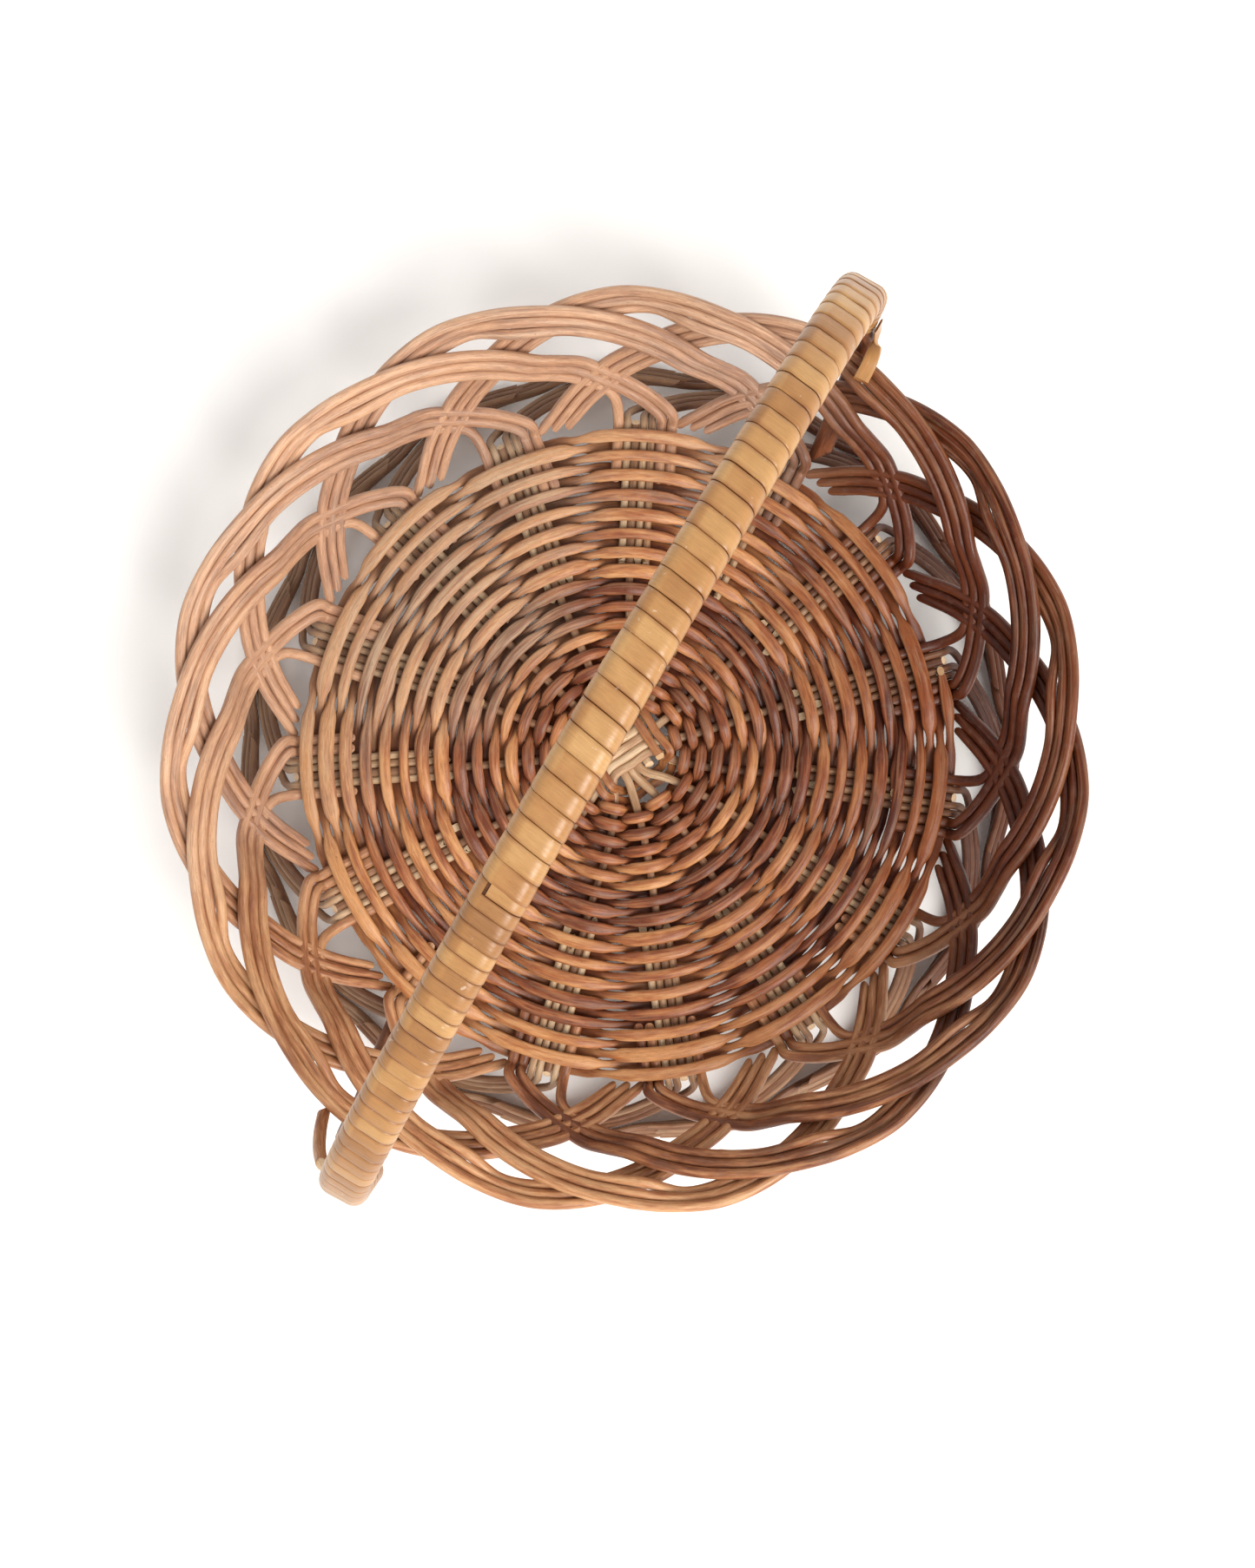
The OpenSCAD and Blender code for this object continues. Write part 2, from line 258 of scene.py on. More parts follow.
def makeFibres():
    # fibres, streaks and specks that run along a rod
    group, t, given, out = newGroup(
        "rodFibres", [("Place", "NodeSocketVector", None), ("Fineness", "NodeSocketFloat", 1.0)],
        [("Fibre", "NodeSocketFloat"), ("Streak", "NodeSocketFloat"), ("Speck", "NodeSocketFloat"),
         ("Patch", "NodeSocketFloat")])
    place, fineness = given.outputs["Place"], given.outputs["Fineness"]
    fibre = t.noise(t.stretched(place, (1.0, 1.0, 0.05)), t.math("MULTIPLY", fineness, 5.5), 4.0, 0.65)
    streak = t.noise(t.stretched(place, (1.0, 1.0, 0.035)), t.math("MULTIPLY", fineness, 1.5), 3.0, 0.5)
    speck = t.noise(t.stretched(place, (1.0, 1.0, 0.45)), t.math("MULTIPLY", fineness, 2.6), 2.0, 0.5)
    patch = t.noise(t.stretched(place, (0.5, 0.5, 0.06)), 1.0, 3.0, 0.6)
    t.join(fibre, out.inputs["Fibre"])
    t.join(t.spread(streak, 0.3, 0.7), out.inputs["Streak"])
    t.join(t.spread(speck, 0.66, 0.76), out.inputs["Speck"])
    t.join(t.spread(patch, 0.3, 0.7), out.inputs["Patch"])
    return group


def makeWeatheringAndShade():
    # where light and damp have turned the willow grey, where dust has gathered, and a painted shade that
    # makes one side of the basket darker and redder
    group, t, given, out = newGroup(
        "weatheringAndShade", [("Side", "NodeSocketVector", (0.3, 0.95, 0.0)), ("Reach", "NodeSocketFloat", 0.03),
                       ("Shaded side", "NodeSocketVector", (0.69, -0.72, 0.0))],
        [("Grey", "NodeSocketFloat"), ("Dust", "NodeSocketFloat"), ("Side shade", "NodeSocketFloat")])
    place = t.node("ShaderNodeTexCoord").outputs["Object"]
    towards = t.node("ShaderNodeVectorMath", {0: place, 1: given.outputs["Side"]},
                     operation="DOT_PRODUCT").outputs["Value"]
    cloud = t.noise(place, 17.0, 3.0, 0.6)
    bent = t.math("ADD", towards, t.math("MULTIPLY", t.math("SUBTRACT", cloud, 0.5), 0.16))
    grey = t.spread(bent, given.outputs["Reach"], t.math("ADD", given.outputs["Reach"], 0.085))
    # painted shade: towards the shaded side the willow is drawn darker and redder, standing in for shade
    away = t.node("ShaderNodeVectorMath", {0: place, 1: given.outputs["Shaded side"]},
                  operation="DOT_PRODUCT").outputs["Value"]
    towardsShade = t.math("ADD", away, t.math("MULTIPLY", t.math("SUBTRACT", cloud, 0.5), 0.10))
    sideShade = t.spread(towardsShade, 0.0, 0.125)
    dust = t.spread(t.noise(place, 260.0, 4.0, 0.7), 0.5, 0.72)
    t.join(grey, out.inputs["Grey"])
    t.join(dust, out.inputs["Dust"])
    t.join(sideShade, out.inputs["Side shade"])
    return group


def makeCutEnd():
    # pale pith and rings on a cut end
    group, t, given, out = newGroup(
        "cutEnd",
        [("Bark", "NodeSocketColor", (0.3, 0.15, 0.08, 1)), ("Pith", "NodeSocketColor", (0.8, 0.6, 0.4, 1)),
         ("Place", "NodeSocketVector", None), ("Cut", "NodeSocketFloat", 0.0)],
        [("Color", "NodeSocketColor"), ("Mask", "NodeSocketFloat")])
    grain = t.noise(given.outputs["Place"], 2.2, 3.0, 0.6)
    pith = t.blend("MULTIPLY", t.spread(grain, 0.45, 0.75, 0.0, 0.55), given.outputs["Pith"],
                   (0.55, 0.38, 0.24, 1))
    mask = t.spread(given.outputs["Cut"], 0.4, 0.6)
    t.join(t.blend("MIX", mask, given.outputs["Bark"], pith), out.inputs["Color"])
    t.join(mask, out.inputs["Mask"])
    return group


fibreGroup = makeFibres()
weatherShadeGroup = makeWeatheringAndShade()
cutGroup = makeCutEnd()
print("stage: shader groups made")


# materials
def makeWillow(name, tones, grey, sideShade, greySide=0.03, fineness=1.0, gloss=0.42, bump=0.35,
               greyShare=0.85, speckDark=0.55, paintedShade=0.0, shadedSide=(0.69, -0.72, 0.0),
               pith=(0.72, 0.52, 0.33, 1)):
    # tones: five colours from pale to dark that the rods of a piece are drawn from
    material = bpy.data.materials.new(name)
    material.use_nodes = True
    material.node_tree.nodes.clear()
    t = Tree(material.node_tree)
    place = t.node("ShaderNodeAttribute", None, attribute_name="rodPlace").outputs["Vector"]
    tone = t.node("ShaderNodeAttribute", None, attribute_name="rodTone").outputs["Fac"]
    cut = t.node("ShaderNodeAttribute", None, attribute_name="endCut").outputs["Fac"]
    rubAndLight = t.node("ShaderNodeAttribute", None, attribute_name="rubAndLight").outputs["Fac"]
    fibres = t.node("ShaderNodeGroup", None, node_tree=fibreGroup)
    t.join(place, fibres.inputs["Place"])
    t.join(fineness, fibres.inputs["Fineness"])
    weatherShade = t.node("ShaderNodeGroup", None, node_tree=weatherShadeGroup)
    t.join(greySide, weatherShade.inputs["Reach"])
    t.join(shadedSide, weatherShade.inputs["Shaded side"])
    patchy = t.math("MULTIPLY", t.math("SUBTRACT", fibres.outputs["Patch"], 0.5), 0.75)
    wander = t.math("ADD", tone, patchy)
    ramp = t.node("ShaderNodeValToRGB", {"Fac": wander})
    ramp.color_ramp.interpolation = "B_SPLINE"
    stops = ramp.color_ramp.elements
    while len(stops) < len(tones):
        stops.new(0.5)
    for i, colour in enumerate(tones):
        stops[i].position = i / (len(tones) - 1)
        stops[i].color = (*colour, 1)
    # painted shade: one side of the basket darker and redder
    body = t.blend("MULTIPLY", weatherShade.outputs["Side shade"], ramp.outputs["Color"], (*sideShade, 1))
    streaky = t.spread(fibres.outputs["Streak"], 0.0, 1.0, 0.45, greyShare)
    greyed = t.math("MULTIPLY", weatherShade.outputs["Grey"], streaky)
    body = t.blend("MIX", greyed, body, t.blend("MULTIPLY", 0.35, (*grey, 1), ramp.outputs["Color"]))
    fibreShade = t.spread(fibres.outputs["Fibre"], 0.35, 0.65, 0.72, 1.16)
    lines = t.node("ShaderNodeCombineColor", {0: fibreShade, 1: fibreShade, 2: fibreShade}).outputs[0]
    body = t.blend("MULTIPLY", 0.75, body, lines)
    specks = t.math("MULTIPLY", fibres.outputs["Speck"], speckDark)
    body = t.blend("MULTIPLY", specks, body, (0.30, 0.17, 0.10, 1))
    # painted shade: the colour (0.42, 0.29, 0.24) darkens a rod where the mask is low, standing in for shade
    # between rods
    shadeShare = t.math("MULTIPLY", t.math("SUBTRACT", 1.0, rubAndLight), paintedShade)  # painted shade: darker where a rod passes under others, in the foot and at rod ends
    body = t.blend("MULTIPLY", shadeShare, body, (0.42, 0.29, 0.24, 1))
    # paler streaks on the raised tops: partly wear, partly a painted highlight
    wearAndSheen = t.math("MULTIPLY", rubAndLight, t.spread(fibres.outputs["Streak"], 0.35, 0.9, 0.0, 0.4))
    body = t.blend("SCREEN", wearAndSheen, body, (0.20, 0.13, 0.07, 1))
    dusty = t.math("MULTIPLY", weatherShade.outputs["Dust"], 0.04)
    body = t.blend("MIX", dusty, body, (0.62, 0.55, 0.47, 1))
    ends = t.node("ShaderNodeGroup", None, node_tree=cutGroup)
    t.join(body, ends.inputs["Bark"])
    t.join(pith, ends.inputs["Pith"])
    t.join(place, ends.inputs["Place"])
    t.join(cut, ends.inputs["Cut"])
    rough = t.math("ADD", t.spread(fibres.outputs["Streak"], 0.0, 1.0, gloss - 0.07, gloss + 0.12),
                   t.math("MULTIPLY", weatherShade.outputs["Grey"], 0.16))
    rough = t.math("ADD", rough, t.math("MULTIPLY", ends.outputs["Mask"], 0.3), clamp=True)
    height = t.math("ADD", t.math("MULTIPLY", fibres.outputs["Fibre"], 0.6),
                    t.math("SUBTRACT", t.math("MULTIPLY", fibres.outputs["Streak"], 0.5),
                           t.math("MULTIPLY", fibres.outputs["Speck"], 0.5)))
    relief = t.node("ShaderNodeBump", {"Strength": bump, "Distance": 0.00035, "Height": height})
    shader = t.node("ShaderNodeBsdfPrincipled", {"Base Color": ends.outputs["Color"], "Roughness": rough,
                                                 "Normal": relief.outputs["Normal"]})
    shader.inputs["Specular IOR Level"].default_value = 0.28
    shader.inputs["Coat Weight"].default_value = 0.05
    shader.inputs["Coat Roughness"].default_value = 0.22
    t.node("ShaderNodeOutputMaterial", {"Surface": shader.outputs["BSDF"]})
    return material


weaverWillow = makeWillow(
    "weaverWillow",
    tones=[(0.53, 0.25, 0.10), (0.41, 0.16, 0.058), (0.32, 0.105, 0.038), (0.225, 0.062, 0.024),
           (0.13, 0.034, 0.015)],
    grey=(0.54, 0.39, 0.26), sideShade=(0.42, 0.225, 0.135), greySide=0.026, gloss=0.36, greyShare=0.92,
    paintedShade=0.6, shadedSide=(0.32, -0.95, 0.0), pith=(0.50, 0.31, 0.16, 1))
stakeWillow = makeWillow(
    "stakeWillow",
    tones=[(0.60, 0.43, 0.27), (0.52, 0.34, 0.20), (0.44, 0.26, 0.14), (0.36, 0.19, 0.10),
           (0.28, 0.135, 0.07)],
    grey=(0.44, 0.34, 0.24), sideShade=(0.36, 0.21, 0.15), greySide=0.03, gloss=0.46, greyShare=0.8, paintedShade=0.8)
borderWillow = makeWillow(
    "borderWillow",
    tones=[(0.62, 0.34, 0.17), (0.52, 0.25, 0.115), (0.40, 0.165, 0.072), (0.27, 0.095, 0.042),
           (0.16, 0.055, 0.028)],
    grey=(0.80, 0.57, 0.41), sideShade=(0.26, 0.125, 0.08), greySide=0.01, gloss=0.34, greyShare=0.8,
    paintedShade=0.3)
legWillow = makeWillow(
    "legWillow",
    tones=[(0.30, 0.13, 0.055), (0.25, 0.10, 0.044), (0.21, 0.078, 0.034), (0.165, 0.06, 0.028),
           (0.12, 0.045, 0.022)],
    grey=(0.38, 0.27, 0.19), sideShade=(0.75, 0.6, 0.52), greySide=0.3, gloss=0.34)


def makeCane(name):
    material = bpy.data.materials.new(name)
    material.use_nodes = True
    material.node_tree.nodes.clear()
    t = Tree(material.node_tree)
    place = t.node("ShaderNodeAttribute", None, attribute_name="rodPlace").outputs["Vector"]
    tone = t.node("ShaderNodeAttribute", None, attribute_name="rodTone").outputs["Fac"]
    edge = t.node("ShaderNodeAttribute", None, attribute_name="endCut").outputs["Fac"]
    fibres = t.node("ShaderNodeGroup", None, node_tree=fibreGroup)
    t.join(place, fibres.inputs["Place"])
    t.join(0.9, fibres.inputs["Fineness"])
    ground = t.node("ShaderNodeTexCoord").outputs["Object"]
    cloud = t.noise(ground, 30.0, 4.0, 0.6)
    wander = t.math("ADD", tone, t.math("MULTIPLY", t.math("SUBTRACT", cloud, 0.5), 1.1))
    ramp = t.node("ShaderNodeValToRGB", {"Fac": wander})
    stops = ramp.color_ramp.elements
    stops.new(0.5)
    for i, colour in enumerate([(0.54, 0.31, 0.12), (0.40, 0.19, 0.062), (0.22, 0.09, 0.028)]):
        stops[i].position = i / 2
        stops[i].color = (*colour, 1)
    lines = t.spread(fibres.outputs["Fibre"], 0.35, 0.65, 0.86, 1.07)
    body = t.blend("MULTIPLY", 0.8, ramp.outputs["Color"],
                   t.node("ShaderNodeCombineColor", {0: lines, 1: lines, 2: lines}).outputs[0])
    body = t.blend("MULTIPLY", t.math("MULTIPLY", fibres.outputs["Speck"], 0.5), body, (0.50, 0.28, 0.12, 1))
    blotch = t.spread(t.noise(ground, 75.0, 2.0, 0.5), 0.36, 0.6, 0.12, 0.85)
    soiled = t.math("MULTIPLY", edge, blotch)
    body = t.blend("MULTIPLY", soiled, body, (0.40, 0.20, 0.08, 1))
    fleck = t.spread(t.noise(ground, 420.0, 2.0, 0.5), 0.70, 0.78)
    body = t.blend("MIX", t.math("MULTIPLY", fleck, 0.3), body, (0.9, 0.84, 0.72, 1))
    rough = t.spread(fibres.outputs["Streak"], 0.0, 1.0, 0.30, 0.46)
    height = t.math("ADD", t.math("MULTIPLY", fibres.outputs["Fibre"], 0.5),
                    t.math("MULTIPLY", fibres.outputs["Streak"], 0.5))
    relief = t.node("ShaderNodeBump", {"Strength": 0.25, "Distance": 0.0003, "Height": height})
    shader = t.node("ShaderNodeBsdfPrincipled", {"Base Color": body, "Roughness": rough,
                                                 "Normal": relief.outputs["Normal"]})
    shader.inputs["Specular IOR Level"].default_value = 0.45
    shader.inputs["Coat Weight"].default_value = 0.2
    shader.inputs["Coat Roughness"].default_value = 0.28
    t.node("ShaderNodeOutputMaterial", {"Surface": shader.outputs["BSDF"]})
    return material


caneStrip = makeCane("caneStrip")
print("stage: materials made")


# layout and rod sizes that more than one piece reads
layout = {
    "groups": 15,
    "firstTurn": -45.5,
    "baseHeight": 28.0,
    "baseRadius": 111.0,
    "gap": 0.1,
}
groupTurn = 360 / layout["groups"]
baseZ = layout["baseHeight"]
baseR = layout["baseRadius"]
gap = layout["gap"]

stakes = {"thickness": 2.6, "innerRadius": 62.0}
sticks = {"thickness": 2.8, "crossTurn": -27.0, "crossReach": 2.6, "armWidth": 2.75, "crossWidth": 2.95,
          "crossThickness": 2.5, "squareness": 2.6}
border = {"thickness": 3.5, "out": 33.6, "up": 32.0, "riseTurn": 52.0, "tail": 17.0, "startTurn": -4.5,
          "endTurn": -9.8, "over": 0.86, "under": -0.42}

stakePitch = stakes["thickness"] + gap
stickPitch = sticks["thickness"] + 2 * gap
borderPitch = border["thickness"] + gap
stakeSides = [-1.5 * stakePitch, -0.5 * stakePitch, 1.5 * stakePitch]
armSide = 0.25 * (stakes["thickness"] + sticks["thickness"])
tailSide = 2 * stakePitch + border["thickness"] / 2 + gap
tailSides = [tailSide, -tailSide, -tailSide - borderPitch]
tailR = baseR - border["tail"]
upward = np.array([0.0, 0.0, 1.0])


def groupAt(n):
    return layout["firstTurn"] + groupTurn * n


# base sticks: four over four, running out as fifteen arms
def armPath(n):
    r = np.array([baseR + 0.5, stakes["innerRadius"], 16])
    side = armSide * np.minimum(1, r / stakes["innerRadius"])
    return polar(r, groupAt(n) + turnOf(side, r), baseZ)


def crossPoint(turn, side, along, level):
    a = math.radians(sticks["crossTurn"] + turn)
    return np.array([along * math.cos(a) - side * math.sin(a), along * math.sin(a) + side * math.cos(a),
                     baseZ + level])


for n in range(1, 9):
    upper = n <= 4
    slot = n if upper else n - 4
    side = (slot - 2.5) * stickPitch
    level = (0.5 if upper else -0.5) * stickPitch
    near = slot - 2 if upper else slot + 2
    far = 11 - slot if upper else 15 - slot
    twoArms = upper or slot > 1
    reach = sticks["crossReach"] * stickPitch
    middle = [crossPoint(0 if upper else 90, side, along, level) for along in (reach, 0, -reach)]
    points = list(armPath(near)) + middle + (list(armPath(far))[::-1] if twoArms else [])
    path, ups, along = smoothCurve(points, [upward] * len(points), 2.0)
    heap = Heap()
    inMiddle = smoothStep((24 - np.linalg.norm(path[:, :2], axis=1)) / 12)  # 1 in the cross
    # the arms outside the cross get the painted shade
    addRod(heap, path, ups, along, mix(sticks["armWidth"], sticks["crossWidth"], inMiddle),
           mix(sticks["armWidth"], sticks["crossThickness"], inMiddle), sides=12,
           tone=dice.uniform(0.1, 0.6), rubAndLight=inMiddle, square=sticks["squareness"])
    makePiece(f"baseStick_{n}", heap, [stakeWillow], f"base_stick_{n}")
print("stage: base sticks")


# binding: a split rod round the crossed sticks, over the upper four and under the lower four
# each ring is how far out it crosses the sticks, and how far to each side it stays flat
binding = {"rings": ((9.0, 7.4), (12.4, 8.6)), "width": 3.0, "thickness": 1.1, "lift": 3.6, "spiral": 0.5,
           "crown": 0.25, "dip": -0.2}

points = []
for reach, corner in binding["rings"]:
    for q in range(4):
        lift = binding["lift"] if q % 2 == 0 else -binding["lift"]
        outward = binding["spiral"] * q
        for side, bow in ((-corner, binding["dip"]), (0, binding["crown"]), (corner, binding["dip"])):
            points.append(crossPoint(90 * q, side, reach + outward, lift + bow))
        points.append(crossPoint(90 * q + 45, 0, (reach + corner) / math.sqrt(2) + outward, 0))
path, ups, along = smoothCurve(points, [upward] * len(points), 0.7)
heap = Heap()
addRod(heap, path, ups, along, binding["width"], binding["thickness"], sides=12, tone=0.2, square=2.8,
       knots=False, slants=(2, 2))
makePiece("slathBinding", heap, [weaverWillow], "slath_binding")
print("stage: binding")


# stakes: pushed in beside the arms, out past the edge and down round the foot
foot = {"lean": 37.0, "turn": 25.0, "endTurn": 54.5, "wear": 0.3, "swell": 1.10, "taper": 0.94,
        "crossing": 31}

footTopR = baseR + 3.5
footTopZ = baseZ - 3.5
strandPitch = stakes["thickness"] + 3 * gap
leanCos, leanSin = math.cos(math.radians(foot["lean"])), math.sin(math.radians(foot["lean"]))
footRingZ = stakes["thickness"] / 4 * math.sqrt(math.pi) - foot["wear"] + strandPitch * leanCos
footSlope = (footTopZ - footRingZ) / leanCos


def footMiddle(a, turn):
    rise = np.sin(np.radians(90 * np.clip(turn, 0, foot["turn"]) / foot["turn"])) ** 0.9
    down = footSlope * np.where(turn < foot["turn"], rise, 1 - 0.2 * np.maximum(0, turn - 40) / 15)
    return polar(footTopR + down * leanSin, a - turn, footTopZ - down * leanCos)


def footNormal(a):
    return polar(leanCos, a, leanSin)


def footPoint(a, turn, step):
    ahead = unit(footMiddle(a, turn + 0.5) - footMiddle(a, turn - 0.5))
    normal = footNormal(a - turn)
    # past the ring a strand climbs over the next ones
    lift = (stakes["thickness"] + 3 * gap) * smoothStep((turn - foot["crossing"]) / 6)
    return footMiddle(a, turn) + step * strandPitch * np.cross(normal, ahead) + lift[:, None] * normal


for n in range(1, layout["groups"] + 1):
    a = groupAt(n - 1)
    heap = Heap()
    for k in range(3):
        side = stakeSides[k]
        startR = stakes["innerRadius"] + 3 * (k % 2) + dice.uniform(-3.5, 1.5)
        r = np.array([startR, mix(startR, baseR, 0.5), baseR - 3, baseR + 0.5])
        flat = polar(r, a + turnOf(side, r), baseZ)
        turned = polar(np.array([footTopR]), a + turnOf(1.08 * side, footTopR), footTopZ)
        lastTurn = foot["endTurn"] + dice.uniform(-3, 0)
        turns = np.append(np.arange(3, foot["endTurn"] - 2, 2.5), lastTurn)
        strand = footPoint(a, turns, k - 1)
        points = np.vstack([flat, turned, strand])
        ups = np.vstack([np.tile(upward, (4, 1)), footNormal(np.array([a])), footNormal(a - turns)])
        path, ups, along = smoothCurve(points, ups, 1.8)
        inFoot = smoothStep((np.linalg.norm(path[:, :2], axis=1) - baseR + 4) / 10)
        width = stakes["thickness"] * mix(1.03, foot["swell"], inFoot)
        width = width * mix(1.0, foot["taper"], along / along[-1])
        # the strands in the foot get the painted shade
        addRod(heap, path, ups, along, width, width * 0.95, sides=10, tone=dice.uniform(0.0, 0.9),
               rubAndLight=1 - inFoot, slants=(2.2, -1.4), rough=0.025)
    makePiece(f"stakeSet_{n}", heap, [stakeWillow], f"stake_set_{n}")
print("stage: stakes and foot")


# weavers: over one group, under the next, in rows from the middle out
weave = {"firstRadius": 17.5, "rows": 30, "rods": 12, "width": 2.7, "thickness": 2.4,
         "passWidth": (4.0, 5.6), "innerPassWidth": 3.5, "spacing": 1.5, "crown": 0.35, "dip": -0.05,
         "tuck": 1.3, "tuckLift": 0.72, "waver": 0.12, "tone": (0.05, 0.95)}

stickLift = (sticks["thickness"] + weave["thickness"]) / 2 + gap
tailLift = (border["thickness"] + weave["thickness"]) / 2 + gap
passes = weave["rows"] * layout["groups"]


def rowRadius(t):
    return mix(weave["firstRadius"], baseR - weave["width"] / 2 - 0.3, 0.88 * t + 0.12 * t * t)


def passSides(r):
    if r < stakes["innerRadius"] - 2:
        return -(sticks["thickness"] / 2 + 1), sticks["thickness"] / 2 + 1
    if r < tailR - 2:
        return -(2 * stakePitch + 0.6), 2 * stakePitch + 0.6
    low = -tailSide - borderPitch - border["thickness"] / 2 - 0.4
    high = tailSide + border["thickness"] / 2 + 0.4
    return low, high


for n in range(1, weave["rods"] + 1):
    first, last = passes * (n - 1) // weave["rods"], passes * n // weave["rods"] - 1
    # each end runs on past the last group, tucked in beside the next weaver
    stops = [(first - 1, share, -weave["tuck"]) for share in (0.5, 1)]
    stops += [(i, share, 0) for i in range(first, last + 1) for share in (0, 0.5, 1)]
    stops += [(last + 1, share, weave["tuck"]) for share in (0, 0.5)]
    points = []
    for i, share, tuck in stops:
        r = rowRadius(min(1, (i + 0.5 * share) / passes)) + (tuck if last + 1 < passes else 0)
        lift = stickLift if r < tailR - 2 else tailLift
        low, high = passSides(r)
        side = mix(low, high, share)
        if r < stakes["innerRadius"] - 2:
            side += armSide * r / stakes["innerRadius"]
        crown = weave["crown"] if share == 0.5 else weave["dip"]
        sign = (1 if i % 2 == 0 else -1) * (weave["tuckLift"] if tuck else 1)
        waver = weave["waver"] * math.sin(1.7 * i)  # keeps the rows from looking drawn with a compass
        points.append(polar(r + waver, groupAt(i) + turnOf(side, r), baseZ + sign * (lift + crown)))
    points = np.array(points)
    path, ups, along = smoothCurve(points, [upward] * len(points), weave["spacing"])
    height = (path[:, 2] - baseZ) / stickLift
    onPass = smoothStep((np.abs(height) - 0.1) / 0.7)
    middleness = smoothStep((stakes["innerRadius"] - np.linalg.norm(path[:, :2], axis=1)) / 20)
    fullest = mix(*weave["passWidth"], dice.uniform(0.0, 1.0))
    taper = mix(1.08, 0.84, along / along[-1])
    passWidth = mix(fullest * taper, weave["innerPassWidth"], 0.75 * middleness)
    passWidth = passWidth * (1 + wobble(along / 30, int(dice.integers(1 << 30)), 0.10))
    ends = smoothStep(np.minimum(along, along[-1] - along) / 9)
    passWidth = np.minimum(passWidth, weave["passWidth"][1])
    wide = mix(weave["width"] * 0.97, passWidth, onPass) * mix(0.55, 1.0, ends)
    thick = mix(weave["thickness"], weave["thickness"] * 0.86, onPass) * mix(0.6, 1.0, ends)
    heap = Heap()
    # the mask is low where the weaver dives under the sticks and stakes, where it gets painted shade; the
    # raised tops get paler
    addRod(heap, path, ups, along, wide, thick, sides=12, tone=dice.uniform(*weave["tone"]),
           rubAndLight=smoothStep((height + 0.7) / 1.1), slants=(2.5, 2.5), rough=0.03, square=2.3)
    makePiece(f"weaver_{n}_rod", heap, [weaverWillow], f"weaver_{n}")
print("stage: weavers")


# border: fifteen scallops of three rods
borderR, borderZ = baseR + 1, baseZ + 3
borderTurn = 4 * groupTurn + border["endTurn"] - border["startTurn"]
swingOver = border["over"] * border["thickness"]
swingUnder = border["under"] * border["thickness"]


def borderShare(turn):
    rise = np.sin(np.radians(90 * np.clip(turn, 0, border["riseTurn"]) / border["riseTurn"]))
    fall = np.cos(np.radians(90 * (turn - border["riseTurn"]) / (borderTurn - border["riseTurn"])))
    return np.where(turn < border["riseTurn"], rise, fall)


def borderAt(a, share):
    return polar(borderR + border["out"] * share, a, borderZ + border["up"] * share)


def borderNormal(a):
    return unit(polar(-border["up"], a, border["out"]))


def swingTurns(step):
    # turns where a rod starts and ends each pass over or under its neighbours
    return [14 - 0.6 * step, 20.8 - 1.1 * step, 44.1 - 2.6 * step, 53 + 3 * step,
            75.8 + 0.9 * step, 80 + 0.5 * step]


def borderSwing(turn, step):
    swings = [-swingOver, swingOver, swingOver, swingUnder, swingUnder, -swingOver]
    return np.interp(turn, swingTurns(step), swings)


def borderPoint(a, turn, step):
    after = borderAt(a + turn + 0.5, borderShare(turn + 0.5))
    before = borderAt(a + turn - 0.5, borderShare(turn - 0.5))
    ahead = unit(after - before)
    normal = borderNormal(a + turn)
    return (borderAt(a + turn, borderShare(turn)) + step * borderPitch * np.cross(ahead, normal)
            + borderSwing(turn, step)[:, None] * normal)


for n in range(1, layout["groups"] + 1):
    middle = groupAt(n - 1)
    a = middle + border["startTurn"]
    bundleTone = dice.uniform(0.1, 0.75)
    heap = Heap()
    for k in range(3):
        step = k - 1
        r = np.array([tailR, mix(tailR, borderR, 0.6), borderR])
        tail = polar(r, middle + turnOf(tailSides[k], r), baseZ)
        at = swingTurns(step)
        turns = np.array([5, 7.2, 9.4, 11.7, at[0], 17.4, at[1], 24, 27, 30.5, 34, 37.5, at[2], 48.5, at[3],
                          58, 61.5, 65, 68.5, 72, at[4], 78, at[5], 82.6, 85])
        foothold = np.array([middle])
        if k == 0:
            turns = turns[turns > 12]  # this rod joins the scallop later than the other two
            joining = borderAt(foothold + 4.4, 0.165) - swingOver * borderNormal(foothold)
        else:
            joining = polar(np.array([borderR + k]), middle + turnOf(tailSides[k], borderR), baseZ + 2.4 * k)
        wall = borderPoint(a, turns, step)
        endTurn = a + borderTurn + turnOf(1.3 * step * borderPitch, borderR)
        end = polar(np.array([borderR + 1.4]), endTurn, baseZ - 1)
        ups = [np.tile(upward, (3, 1)), borderNormal(foothold), borderNormal(a + turns),
               borderNormal(np.array([a + borderTurn]))]
        path, ups, along = smoothCurve(np.vstack([tail, joining, wall, end]), np.vstack(ups), 1.7)
        share = along / along[-1]
        width = border["thickness"] * mix(1.05, 0.98, share)  # a rod thins towards its tip
        width = width * (1 + wobble(along / 40, 900 + 3 * n + k, 0.02))
        # the tail and tip of each rod get the painted shade
        addRod(heap, path, ups, along, width, width * 0.98, sides=14, rough=0.018, square=2.2,
               tone=np.clip(bundleTone + dice.uniform(-0.2, 0.2), 0, 1), slants=(-1.6, -1.4),
               rubAndLight=smoothStep((share - 0.25) / 0.2) * smoothStep((0.8 - share) / 0.2))
    makePiece(f"borderScallop_{n}", heap, [borderWillow], f"border_scallop_{n}")
print("stage: border")


# handle rods: the band over the top, and one long leg each
handle = {"top": 200.0, "outside": 12.9, "above": 37.0, "thickness": 7.0, "side": 6.0, "skew": 0.02,
          "cane": 0.8, "joint": 109.0, "rightLeg": (-4.2, -1.6), "leftLeg": (168.4, 173.5)}

